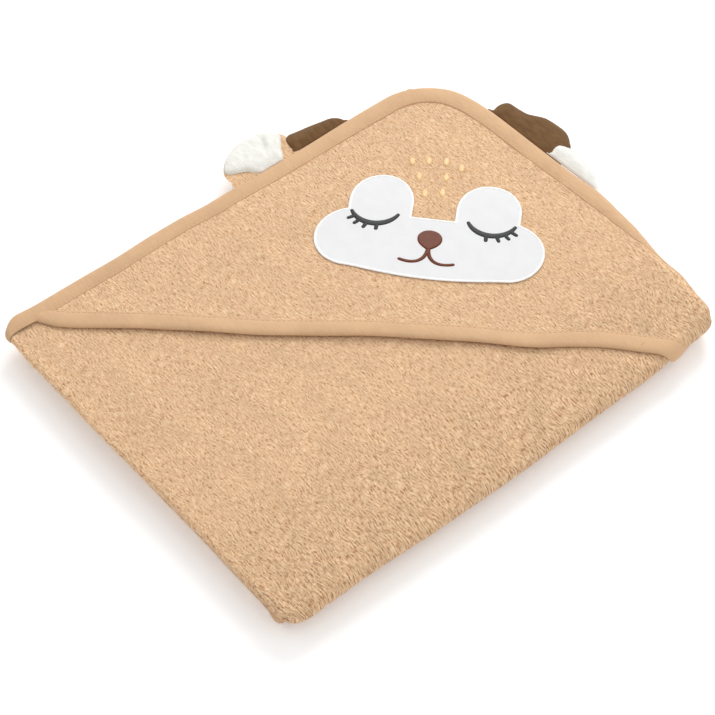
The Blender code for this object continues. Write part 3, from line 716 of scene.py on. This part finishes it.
def build_perimeter_tape():
    down = steps((CORNER, 2 * MM), (T1, 0.45 * MM), (T2, 3 * MM), (T3, 0.4 * MM), (T4, 3 * MM),
                 (T5 - CORNER,))
    middle = ("middle_tucked_hem_binding", "middle_top_hem_binding")
    halves = (
        ("front", steps((CORNER, 2 * MM), (S1, 0.8 * MM), (S2, 3 * MM), (HALF_WAY,)), ON_FRONT,
         ("front_tucked_hem_binding", "front_side_binding", "hood_tip_edge_binding", *middle)),
        ("back", steps((HALF_WAY, 3 * MM), (S3, 0.8 * MM), (S4, 3 * MM), (S5 - CORNER,)), ON_BACK,
         ("back_tucked_hem_binding", "back_side_binding", "back_top_hem_binding", *middle)),
    )
    pieces = []
    for half, across, between, nodes in halves:
        points, inward = tape_edge(across, down, half == "front")
        high, width = tape_height(*points.T), tape_width(*points.T)
        rings = []
        for point, way, wide, top in zip(points, inward, width, high):
            profile = tape_profile(wide, TAPE_LOW, top)
            rings.append(np.column_stack([point + profile[:, :1] * way, profile[:, 1]]))
        band = tubes(f"{half}_perimeter_tape", [np.array(rings)], fold, tape_cloth)
        seam = stitches(points, inward, (width - SEAM_IN)[:, None], high - SEAM_SUNK)
        thread = tubes(f"{half}_perimeter_stitching", seam, fold, sewing)
        pieces.append((finish_piece(band, nodes, between), finish_piece(thread, (), between)))
    return pieces


# ---------------------------------------------------------------- the hood
HOOD_EDGE = MOUTH_TAPE * 0.35                       # the hood's cloth stops this far inside its mouth


def hood_cloth(name, low, high, step):
    """The hood between two values of s, on a grid whose diagonal is the mouth."""
    reach = HOOD_LEG - HOOD_EDGE * 2 ** 0.5 - EDGE
    high = min(high, reach)
    cols = round((high - low) / step)
    step = (high - low) / cols
    i, j = np.meshgrid(np.arange(cols + 1), np.arange(int((reach - low) / step) + 1), indexing="ij")
    s, t, index = low + i * step, EDGE + j * step, i * i.shape[1] + j
    last = int((reach - low) / step + 0.5)
    total = (i + j)[:-1, :-1]
    a, b, c, d = index[:-1, :-1], index[:-1, 1:], index[1:, 1:], index[1:, :-1]
    faces = [np.stack([a, b, c, d], -1)[total + 2 <= last], np.stack([a, b, d], -1)[total + 1 == last]]
    used = np.unique(np.concatenate([f.ravel() for f in faces]))
    renumber = np.full(index.size, -1)
    renumber[used] = np.arange(len(used))
    s, t = round_cloth(s.ravel()[used], t.ravel()[used])
    return sheet_object(name, s, t, [renumber[f] for f in faces], on_hood, CLOTH, terry, pile=PILE_ROUGH)


def mouth_place(low, high, share, inward):
    """Flat s and t this far inside the mouth's edge, at a share of the way from low to high in s.
    Without high the stretch ends at the hood's other sewn edge."""
    reach = HOOD_LEG - inward * 2 ** 0.5
    end = reach - EDGE if high is None else high
    s = low + (end - low) * share
    return np.broadcast_arrays(s, reach - s)


def mouth_sections(low, high, step, bottom, top):
    profile = tape_profile(MOUTH_TAPE, bottom, top)
    span = (high or HOOD_LEG) - low
    return np.array([np.column_stack([*mouth_place(low, high, share, profile[:, 0]), profile[:, 1]])
                     for share in np.linspace(0, 1, int(span / step))])


def build_hood():
    """The hood in two parts: the one that lifts, and the corner that wraps round the right fold."""
    low, high = -CLOTH / 2 - 0.3 * MM, CLOTH / 2 + TAPE_OVER
    parts = (("", EDGE, HOOD_SPLIT, "hood_panel", "hood_mouth_binding", ON_HOOD),
             ("wrapped_", HOOD_SPLIT, None, "hood_wrapped_corner", "hood_wrapped_binding", ON_FRONT))
    cloths = []
    for part, start, end, node, _, between in parts:
        cloth = hood_cloth(f"hood_{part}cloth", start, end or 1.0, FINE_STEP)
        cloths.append(finish_piece(cloth, [node], between))
    mouths = []
    for part, start, end, _, node, between in parts:
        sections = mouth_sections(start, end, 1.0 * MM, low, high)
        band = tubes(f"hood_{part}mouth_tape", [sections], on_hood, tape_cloth)
        edge = np.column_stack(mouth_place(start, end, np.linspace(0, 1, 200), MOUTH_TAPE - SEAM_IN))
        seam = stitches(edge, np.tile(INWARD_OF_MOUTH, (len(edge), 1)), 0.0, high - SEAM_SUNK)
        thread = tubes(f"hood_{part}mouth_stitching", seam, on_hood, sewing)
        mouths.append((finish_piece(band, [node], between),
                       finish_piece(thread, [], between)))
    return (*cloths, mouths)


# ---------------------------------------------------------------- the face
# The face's outlines are in millimetres about its centre, right and up, as they are in the CAD model.
FACE_CENTRE, FACE_TILT = (0.0040, 0.1410), radians(-4.4)    # along the mouth and down from the tip
LOBE_CENTRE, LOBE_SIZE = (30.5, 25.0), (17.5, 20.0)
NOTCH_HEIGHT = 14.5
CHEEK_CENTRE, CHEEK_RADIUS = (42.0, -4.0), 21.5
CHIN_DROP, CHIN_HALF, CHIN_RISE = 29.6, 46.0, 5.2
EYE_CENTRE, EYE_RADIUS, EYE_HALF_ANGLE = (33.0, 21.8), 14.6, 66
EYE_STROKE, EYE_END_STROKE = 3.9, 1.9
LASH_ANGLES = (-98, -76, -58, -42)
LASH_LENGTH, LASH_WIDTH = 5.2, 2.6
NOSE_HALF, NOSE_UP, NOSE_DOWN = 7.0, 6.2, 8.6
MOUTH_STROKE = 2.3
MOUTH_LINE = ((0.2, -7.8), (0.6, -16.5), (6.0, -21.0), (15.8, -17.2))
FRECKLE_SIZE = (3.3, 6.2)
FRECKLES = ((-8.9, 80.2), (0.6, 79.7), (10.6, 79.8), (19.6, 84.2),
            (-4.4, 92.2), (11.1, 92.2), (-0.4, 105.5), (9.6, 104.5))
APPLIQUE_TOP = CLOTH / 2 + 0.0008
RIM_HALF = 0.75                                     # of the satin border, in millimetres
SUNK = 0.15 * MM                                    # how far stitching goes into its cloth


def face_to_flat(points, centre=FACE_CENTRE, tilt=FACE_TILT):
    """Millimetres right and up from a place on the hood to flat s and t."""
    u, v = np.asarray(points, float).T * MM
    across = centre[0] + cos(tilt) * u - sin(tilt) * v
    down = centre[1] - sin(tilt) * u - cos(tilt) * v
    return np.column_stack([(across + down) / 2 ** 0.5, (down - across) / 2 ** 0.5])


def arc(centre, radius, start, end, count):
    rx, ry = radius if isinstance(radius, tuple) else (radius, radius)
    a = np.radians(np.linspace(start, end, count))
    return np.column_stack([centre[0] + rx * np.cos(a), centre[1] + ry * np.sin(a)])


def respaced(points, gap, closed=False):
    """The same line with evenly spaced points."""
    line = np.concatenate([points, points[:1]]) if closed else points
    reach = lengths_along(line)
    count = max(3, int(round(reach[-1] / gap)))
    at = np.linspace(0, reach[-1], count + 1)[:count if closed else None]
    return np.column_stack([np.interp(at, reach, line[:, k]) for k in (0, 1)])


def mask_outline():
    radius = (CHIN_HALF ** 2 + CHIN_RISE ** 2) / (2 * CHIN_RISE)
    x = np.linspace(0, CHIN_HALF * 5 / 6, 20)
    chin = np.column_stack([x, -CHIN_DROP + radius - np.sqrt(radius ** 2 - x ** 2)])
    cheek = arc(CHEEK_CENTRE, CHEEK_RADIUS, -76, 74, 60)
    lobe = arc(LOBE_CENTRE, LOBE_SIZE, 0, 180, 60)
    notch = np.array([(LOBE_CENTRE[0] - LOBE_SIZE[0], NOTCH_HEIGHT)])
    right = np.concatenate([chin, cheek, lobe, notch])
    left = right[::-1] * (-1, 1)
    return np.concatenate([right, left[:-1]])


def normals_along(points, closed=False):
    """Unit normals to the right of a line's direction."""
    ahead = np.roll(points, -1, 0) - np.roll(points, 1, 0) if closed else np.gradient(points, axis=0)
    side = np.column_stack([ahead[:, 1], -ahead[:, 0]])
    return side / np.maximum(np.linalg.norm(side, axis=1, keepdims=True), 1e-9)


def ribbon(points, half_widths, base, height, pitch=0.55, slant=0.5, closed=False):
    """Satin stitch along a line, in face millimetres: a domed band, ribbed across. Flat (s, t, n)."""
    line = np.concatenate([points, points[:1]]) if closed else points
    reach = lengths_along(line)
    if closed:
        pitch = reach[-1] / max(1, round(reach[-1] / pitch))
    half = np.broadcast_to(half_widths, len(points))
    across = np.array([-1, -0.94, -0.75, -0.45, -0.15, 0.15, 0.45, 0.75, 0.94, 1])[:, None]
    rings = []
    for p, w, q, r in zip(points, half, normals_along(points, closed), reach):
        ridge = 0.86 + 0.14 * np.cos(2 * pi * (r / pitch + slant * across))
        top = base + height * min(1, w / 0.8) * np.sqrt(1 - across ** 2 * 0.98) * ridge
        under = np.array([[0.9], [-0.9]])
        flat = face_to_flat(p + q * (np.concatenate([across, under]) * w))
        rings.append(np.column_stack([flat, np.concatenate([top, np.full((2, 1), base - SUNK)])]))
    return np.array(rings)


def tapered(count, middle, end, power=2.0):
    u = np.linspace(-1, 1, count)
    return end + (middle - end) * (1 - np.abs(u) ** power)


def flat_patch(outline, gap):
    """Triangles that fill a flat outline, with inner points on a grid, anticlockwise."""
    low, high = outline.min(0), outline.max(0)
    gx, gy = np.meshgrid(np.arange(low[0] + gap / 2, high[0], gap), np.arange(low[1] + gap / 2, high[1], gap))
    inner = np.column_stack([gx.ravel(), gy.ravel()])
    inside, distance = depth_in(inner, outline)
    inner = inner[inside & (distance > gap * 0.55)]
    count = len(outline)
    points = [Vector(p) for p in np.concatenate([outline, inner])]
    edges = [(i, (i + 1) % count) for i in range(count)]
    found, _, faces, *_ = delaunay_2d_cdt(points, edges, [], 1, 1e-7)
    points, faces = np.array([tuple(p) for p in found]), np.array(faces)
    a, b, c = points[faces[:, 0]], points[faces[:, 1]], points[faces[:, 2]]
    area = (b[:, 0] - a[:, 0]) * (c[:, 1] - a[:, 1]) - (b[:, 1] - a[:, 1]) * (c[:, 0] - a[:, 0])
    faces[area < 0] = faces[area < 0][:, ::-1]
    return points, faces


def depth_in(points, outline):
    """Which points are inside an outline, and how far each is from it."""
    a, b = outline, np.roll(outline, -1, 0)
    inside = np.zeros(len(points), bool)
    distance = np.full(len(points), 1e9)
    for p, q in zip(a, b):
        d = q - p
        share = np.clip(((points - p) @ d) / max(d @ d, 1e-18), 0, 1)
        distance = np.minimum(distance, np.linalg.norm(points - p - share[:, None] * d, axis=1))
        crosses = (p[1] > points[:, 1]) != (q[1] > points[:, 1])
        with np.errstate(divide="ignore", invalid="ignore"):
            x = (q[0] - p[0]) * (points[:, 1] - p[1]) / (q[1] - p[1]) + p[0]
        inside ^= crosses & (points[:, 0] < x)
    return inside, distance


def build_applique():
    outline = respaced(mask_outline(), 1.0, closed=True)
    points, faces = flat_patch(outline, 2.0)
    flat = face_to_flat(points)
    s, t = flat.T
    top = on_hood(s, t, APPLIQUE_TOP + 0.00006 * wave(points[:, 0] / 5, points[:, 1] / 5, 41))
    obj = closed_object("face_applique_cloth", top, on_hood(s, t, APPLIQUE_TOP - 0.0006), [faces], flat,
                        applique_cloth)
    finish_piece(mend_normals(obj), ["face_applique"], ON_HOOD)
    rim = respaced(mask_outline(), 0.13, closed=True)
    band = ribbon(rim, RIM_HALF, APPLIQUE_TOP - 0.0002, 0.62 * MM, closed=True)
    border = tubes("applique_satin_rim", [band], on_hood, satin, closed=True)
    return obj, finish_piece(border, ["applique_satin_border"], ON_HOOD)


def eye_parts():
    centre = np.array(EYE_CENTRE)
    lid = arc(centre, EYE_RADIUS, -90 - EYE_HALF_ANGLE, -90 + EYE_HALF_ANGLE, 190)
    parts = [(lid, tapered(len(lid), EYE_STROKE / 2, EYE_END_STROKE / 2))]
    for angle in LASH_ANGLES:
        out = np.array([cos(radians(angle)), sin(radians(angle))])
        bend = np.array([-out[1], out[0]])
        u = np.linspace(0, 1, 40)[:, None]
        line = centre + out * (EYE_RADIUS + LASH_LENGTH * u * 0.98) + bend * (0.7 * u ** 2)
        width = LASH_WIDTH / 2 * np.sqrt(1 - np.clip((u[:, 0] - 0.8) / 0.2, 0, 1) ** 2 * 0.96)
        parts.append((line, width * (1 - 0.2 * u[:, 0])))
    return parts


def mouth_parts():
    """The mouth's two strokes, each a cubic curve out from under the nose."""
    a, b, c, d = np.array(MOUTH_LINE)
    u = np.linspace(0, 1, 160)[:, None]
    right = (1 - u) ** 3 * a + 3 * u * (1 - u) ** 2 * b + 3 * u * u * (1 - u) * c + u ** 3 * d
    right = respaced(right, 0.15)
    u = np.linspace(0, 1, len(right))
    width = MOUTH_STROKE / 2 * np.sqrt(1 - np.clip((u - 0.94) / 0.06, 0, 1) ** 2 * 0.95) * (1 - 0.1 * u)
    return [(right, width), (right * (-1, 1), width)]


def dome_patch(name, outline, base, height, pitch, material, gap, *place):
    """A filled satin-stitched shape: a low dome, ribbed along the outline's second axis."""
    points, faces = flat_patch(outline, gap)
    distance = depth_in(points, outline)[1]
    rise = np.sqrt(1 - (1 - np.clip(distance / 1.1, 0, 1)) ** 2)
    ridge = 0.88 + 0.12 * np.cos(2 * pi * (points[:, 1] + 0.25 * points[:, 0]) / pitch)
    flat = face_to_flat(points, *place)
    s, t = flat.T
    top, bottom = on_hood(s, t, base + height * rise * ridge), on_hood(s, t, base - SUNK)
    return mend_normals(closed_object(name, top, bottom, [faces], flat, material))


def nose_outline():
    a = np.linspace(0, 2 * pi, 60, endpoint=False)
    low = np.maximum(0, -np.sin(a))
    reach = np.where(np.sin(a) > 0, NOSE_UP, NOSE_DOWN)
    return np.column_stack([NOSE_HALF * np.cos(a) * (1 - 0.5 * low ** 3), reach * np.sin(a)])


def stitched(name, parts, thread, node):
    """Lines of satin stitch as one piece."""
    sections = [ribbon(line, width, APPLIQUE_TOP - 0.05 * MM, 0.55 * MM) for line, width in parts]
    return finish_piece(tubes(name, sections, on_hood, thread), [node], ON_HOOD)


def build_face():
    eye = eye_parts()
    mirror = [(line * (-1, 1), width) for line, width in eye]
    made = [*build_applique(),
            stitched("right_eye_stitching", eye, dark_thread, "right_eye_embroidery"),
            stitched("left_eye_stitching", mirror, dark_thread, "left_eye_embroidery"),
            stitched("mouth_stitching", mouth_parts(), brown_thread, "mouth_embroidery")]
    nose = dome_patch("nose_stitching", nose_outline(), APPLIQUE_TOP, 0.7 * MM, 0.7, brown_thread, 0.3)
    made.append(finish_piece(nose, ["nose_embroidery"], ON_HOOD))
    outline = arc((0, 0), (FRECKLE_SIZE[0] / 2, FRECKLE_SIZE[1] / 2), 0, 345, 24)
    for number, (across, down) in enumerate(FRECKLES, 1):
        dot = dome_patch(f"freckle_{number}", outline, CLOTH / 2 + 0.1 * MM, 0.95 * MM, 0.8, freckle_thread,
                         0.35, (across * MM, down * MM), 0.0)
        made.append(finish_piece(dot, [f"freckle_stitch_{number}"], ON_HOOD))
    return made


# ---------------------------------------------------------------- ears and antlers
# Each outline runs round the trim in millimetres: X and Y as seen from above, in the pile's frame.
LEFT_EAR = ((-125.6, 9.5), (-125.6, 51.5), (-130.4, 52.5), (-137, 54.4), (-140.5, 55), (-145.5, 53),
            (-149.7, 50), (-152.2, 45.9), (-153.6, 40.7), (-153.8, 33), (-152.6, 26.3), (-149, 18.8),
            (-145, 13.5), (-140.8, 9.7), (-136.5, 7.7), (-131, 7.5))
LEFT_EAR_PLUSH = ((-125.6, 26), (-125.6, 40.5), (-133.4, 46.5), (-138, 50), (-141.5, 52.7), (-145.5, 52.6),
                  (-149.5, 49.7), (-151.9, 45.7), (-153.3, 40.6), (-153.5, 33), (-152.3, 26.5), (-148.8, 19),
                  (-144.8, 13.8), (-140.8, 10.4), (-137.4, 9.8), (-134.9, 13), (-132.1, 19))
LEFT_ANTLER = ((-125.6, 53), (-125.6, 88.5), (-128.5, 89.2), (-131.3, 87.8), (-134.3, 84.3), (-135.8, 78),
               (-137.5, 70.8), (-138.9, 63.3), (-139.8, 57), (-137, 53), (-130, 51.5))
RIGHT_ANTLER = ((-76, 158.6), (-22, 158.6), (-22.5, 166), (-24.7, 173), (-28, 175.9), (-31.2, 178.3),
                (-34.8, 180.2), (-38.9, 181.1), (-43.2, 181), (-47.7, 180.7), (-51.8, 180.1), (-54.6, 178.9),
                (-57.6, 177.1), (-61, 174.9), (-64, 174), (-67.6, 173.5), (-72.1, 173.1), (-75.6, 172.6),
                (-77.6, 169.8), (-78, 165.5), (-77, 161.5))
RIGHT_EAR = ((-35.2, 159.5), (11, 159.5), (10.3, 160.4), (7.1, 163), (4.1, 165.3), (0.1, 167.8),
             (-4.3, 169.8), (-9, 171.5), (-14.2, 172.7), (-19.4, 173.3), (-24.5, 172.8), (-28.1, 171),
             (-31, 169), (-33, 166), (-34.8, 162.5))
RIGHT_EAR_PLUSH = ((-28, 159.5), (10.5, 159.5), (10, 160.4), (6.9, 163), (3.9, 165.2), (0, 167.6),
                   (-4.3, 169.6), (-9, 171.2), (-14.2, 172.4), (-19.4, 173), (-24.5, 172.4), (-28, 170.6),
                   (-30.3, 168.5), (-30.5, 165), (-29.3, 161.5))


def rounded_outline(points, gap):
    """A smooth closed line through given points, evenly spaced. The first side stays straight."""
    p = np.array(points, float)
    line = []
    for i in range(len(p)):
        a, b, c, d = p[i - 1], p[i], p[(i + 1) % len(p)], p[(i + 2) % len(p)]
        u = np.linspace(0, 1, 16, endpoint=False)[:, None]
        if i == 0:
            line.append(b + (c - b) * u)
            continue
        line.append(0.5 * (2 * b + (c - a) * u + (2 * a - 5 * b + 4 * c - d) * u ** 2
                           + (3 * b - a - 3 * c + d) * u ** 3))
    return respaced(np.concatenate(line), gap, closed=True)


SEAM_HALF = 0.05                                    # half the gap between a trim's two faces, in millimetres


def out_of_seam(points, outline):
    """How far a point is out from the towel's edge, in millimetres. The outline's first side is the seam."""
    (x0, y0), (x1, _) = outline[:2]
    return x0 - points[:, 0] if x0 == x1 else points[:, 1] - y0


def trim_half(name, outline, middle, rise, droop, crease, material, side, seed):
    """One face of a padded trim: a dome over its outline. side is 1 for the front, -1 for the back."""
    line = rounded_outline(outline, 1.0)
    points, faces = flat_patch(line, 1.25)
    distance = depth_in(points, line)[1]
    out = out_of_seam(points, outline)
    rim = 0.45 + 0.25 * smooth(distance / 1.4)
    dome = rim + rise * np.sqrt(1 - (1 - np.clip(distance / 7.5, 0, 1)) ** 2)
    pinch = smooth((out + 1.0) / 8.0)
    height = dome * (0.35 + 0.65 * pinch)
    height = height + 0.16 * wave(points[:, 0] / 3.1, points[:, 1] / 3.1, seed) * smooth(distance / 2)
    if crease and side > 0:
        (cx, cy), (dx, dy), length, depth = crease
        along = (points[:, 0] - cx) * dx + (points[:, 1] - cy) * dy
        across = (points[:, 0] - cx) * -dy + (points[:, 1] - cy) * dx
        fade = smooth((length - np.abs(along)) / (length * 0.6))
        height = height - depth * np.exp(-(across / 1.5) ** 2) * fade
        height = height + 0.5 * depth * np.exp(-((across - 3.4) / 2.2) ** 2) * fade
    level = middle - droop * smooth(out / 26) * np.clip(out / 26, 0, 1)
    level = level + 0.5 * wave(points[:, 0] / 16, points[:, 1] / 16, seed + 1) * smooth(out / 6)
    outer, inner = [np.column_stack([points, level + side * rise]) * MM for rise in (height, SEAM_HALF)]
    return mend_normals(closed_object(name, outer, inner, [faces[:, ::side]], points * MM, material))


def build_trims():
    # name, face and whole outline, height of the seam, swell, droop of the tip, crease across the face
    table = (
        ("left_ear", LEFT_EAR_PLUSH, LEFT_EAR, 17.0, 2.2, 1.0, ((-142.3, 40), (0.88, -0.47), 9.0, 1.4)),
        ("left_antler", LEFT_ANTLER, LEFT_ANTLER, 16.6, 1.1, 2.5, None),
        ("right_antler", RIGHT_ANTLER, RIGHT_ANTLER, 16.6, 1.1, 1.2, None),
        ("right_ear", RIGHT_EAR_PLUSH, RIGHT_EAR, 17.0, 1.9, 2.0, None),
    )
    for number, (name, outline, whole, middle, rise, droop, crease) in enumerate(table):
        ear = "ear" in name
        seed = 60 + 5 * number
        front, front_slot = (plush, "plush") if ear else (twill, "twill")
        back, back_slot = (terry, "terry") if ear else (twill, "twill")
        face = trim_half(f"{name}_face", outline, middle, rise, droop, crease, front, 1, seed)
        rear = trim_half(f"{name}_lining", whole, middle, rise * 0.9, droop, None, back, -1, seed)
        for obj, slot, nodes in ((face, front_slot, [f"{name}_front", f"{name}_wadding"]),
                                 (rear, back_slot, [f"{name}_back"])):
            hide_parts(*nodes)
            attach(obj, name)


# ---------------------------------------------------------------- floor, light and camera
FLOOR_REACH, FLOOR_Z = 3.0, -0.0004
FLOOR_LOOK = {"Base Color": (0.93, 0.93, 0.93, 1), "Roughness": 0.9, "Specular IOR Level": 0.1,
              "Emission Color": (1, 1, 1, 1), "Emission Strength": 0.15}
WORLD_LIGHT = 0.80
SOFTBOXES = (("key", (-0.75, 0.95, 1.0), 0.8, 13.5), ("fill", (0.9, 0.3, 1.3), 1.2, 3.0))
SOFTBOX_AIM = Vector((0, 0, 0.01))
CAMERA_LENS = 110.1
CAMERA_TARGET = Vector((0.0155, -0.0244, FRONT_Z + STACK))
CAMERA_OFFSET = Vector((0.568, -0.492, 0.880))


def build_stage():
    mesh = bpy.data.meshes.new("floor")
    mesh.from_pydata([(FLOOR_REACH * x, FLOOR_REACH * y, 0) for x, y in ((-1, -1), (1, -1), (1, 1), (-1, 1))],
                     [], [(0, 1, 2, 3)])
    floor = add_object("floor", mesh)
    floor.location.z = FLOOR_Z
    paint = bpy.data.materials.new("floor_paint")
    paint.use_nodes = True
    for key, value in FLOOR_LOOK.items():
        paint.node_tree.nodes["Principled BSDF"].inputs[key].default_value = value
    mesh.materials.append(paint)

    world = bpy.data.worlds.new("studio")
    bpy.context.scene.world = world
    world.use_nodes = True
    world.node_tree.nodes["Background"].inputs["Color"].default_value = (1, 1, 1, 1)
    world.node_tree.nodes["Background"].inputs["Strength"].default_value = WORLD_LIGHT
    for name, place, size, power in SOFTBOXES:
        data = bpy.data.lights.new(name, "AREA")
        data.size, data.energy = size, power
        lamp = add_object(name, data)
        lamp.location = place
        lamp.rotation_euler = (SOFTBOX_AIM - Vector(place)).to_track_quat("-Z", "Y").to_euler()
    bpy.context.scene.view_settings.view_transform = "Standard"


def build_camera():
    data = bpy.data.cameras.new("camera")
    data.lens, data.sensor_width = CAMERA_LENS, 36
    data.clip_start, data.clip_end = 0.05, 20
    camera = add_object("camera", data)
    camera.location = CAMERA_TARGET + CAMERA_OFFSET
    camera.rotation_euler = (-CAMERA_OFFSET).to_track_quat("-Z", "Y").to_euler()
    bpy.context.scene.camera = camera


# ---------------------------------------------------------------- all of it
build_camera()
build_stage()
towel_first, towel_second = build_towel()
(first_tape, first_thread), (second_tape, second_thread) = build_perimeter_tape()
hood_main, hood_wrap, ((mouth_tape, mouth_thread), (wrap_tape, wrap_thread)) = build_hood()
applique, *trimmings = build_face()
build_trims()

bpy.context.view_layer.update()
